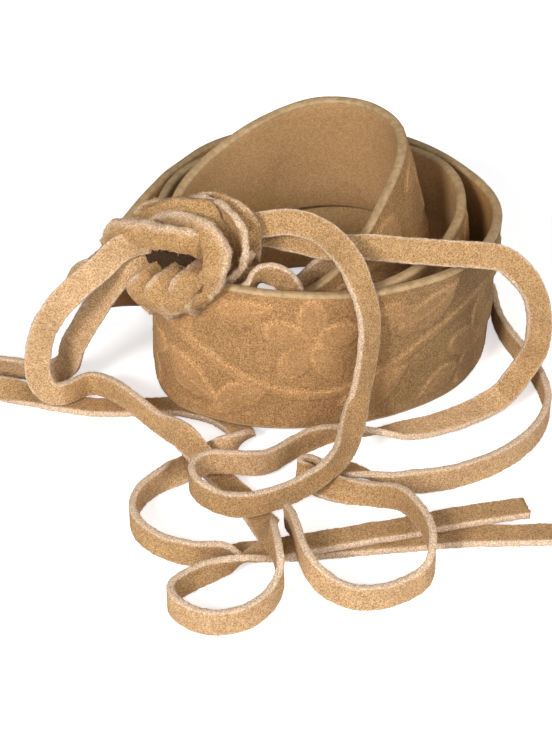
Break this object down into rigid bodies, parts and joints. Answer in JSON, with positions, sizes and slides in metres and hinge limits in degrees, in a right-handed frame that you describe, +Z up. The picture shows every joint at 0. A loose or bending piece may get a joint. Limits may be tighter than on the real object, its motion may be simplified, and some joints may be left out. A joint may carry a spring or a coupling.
{
  "type": "wrap belt",
  "caption": "Wide suede wrap belt coiled on its edge, with tapered ends and flat laces knotted at the front and lying in loops.",
  "frame": {"origin": "middle of the footprint of the coiled strap and its knot, on the surface that the coil rests on", "axes": "+Z up; -Y towards the knot and the loops of lace; +X to the right, seen from the front"},
  "size_m": [0.175, 0.216, 0.0685],
  "materials": {
    "strap": "tan suede with a tonal embossed scroll, smooth olive inner face and burnished edges",
    "lace": "tan fuzzy suede with pale cut edges"
  },
  "bodies": {
    "root": {"belt_strap": "strap", "knot": "lace", "lace_front": "lace", "lace_left": "lace", "lace_tail": "lace", "lace_back": "lace", "lace_inner": "lace"}
  },
  "joints": []
}
